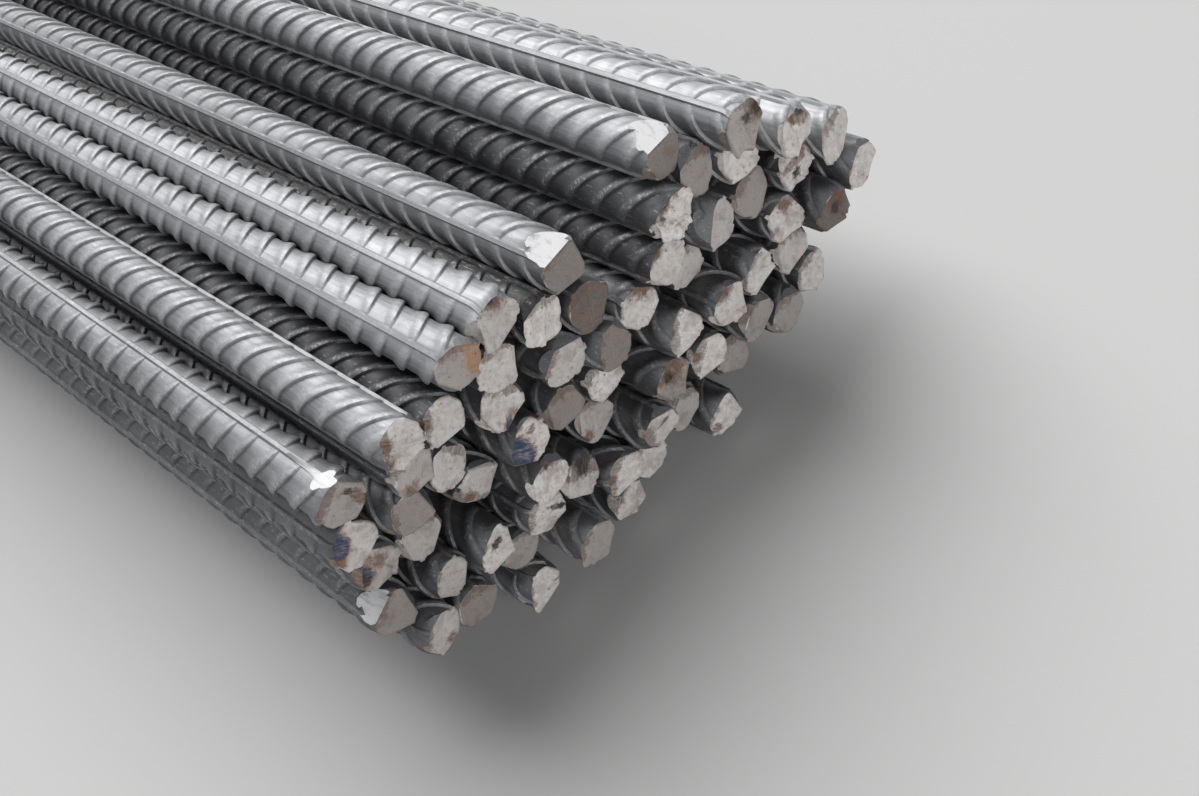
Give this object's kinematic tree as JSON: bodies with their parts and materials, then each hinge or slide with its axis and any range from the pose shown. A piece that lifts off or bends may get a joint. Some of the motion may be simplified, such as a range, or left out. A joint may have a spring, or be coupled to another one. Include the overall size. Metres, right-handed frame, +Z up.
{
  "type": "rebar bundle",
  "caption": "Bundle of ribbed steel reinforcing bars with sheared, uneven ends, bound with twisted wire ties.",
  "frame": {"origin": "on the floor, under the middle of the bundle", "axes": "+X along the bars towards the ends that stand out unevenly, +Y across the bundle, +Z up"},
  "size_m": [6.0691, 0.3544, 0.2112],
  "materials": {
    "bar_steel": "matt mill scale",
    "tie_wire": "drawn wire"
  },
  "bodies": {
    "root": {"bars_layer_1": "bar_steel", "bars_layer_2": "bar_steel", "bars_layer_3": "bar_steel", "bars_layer_4": "bar_steel", "bars_layer_5": "bar_steel", "bars_layer_6": "bar_steel", "bars_layer_7": "bar_steel", "bars_layer_8": "bar_steel", "wire_tie_1": "tie_wire", "wire_tie_2": "tie_wire", "wire_tie_3": "tie_wire", "wire_tie_4": "tie_wire"}
  },
  "joints": []
}
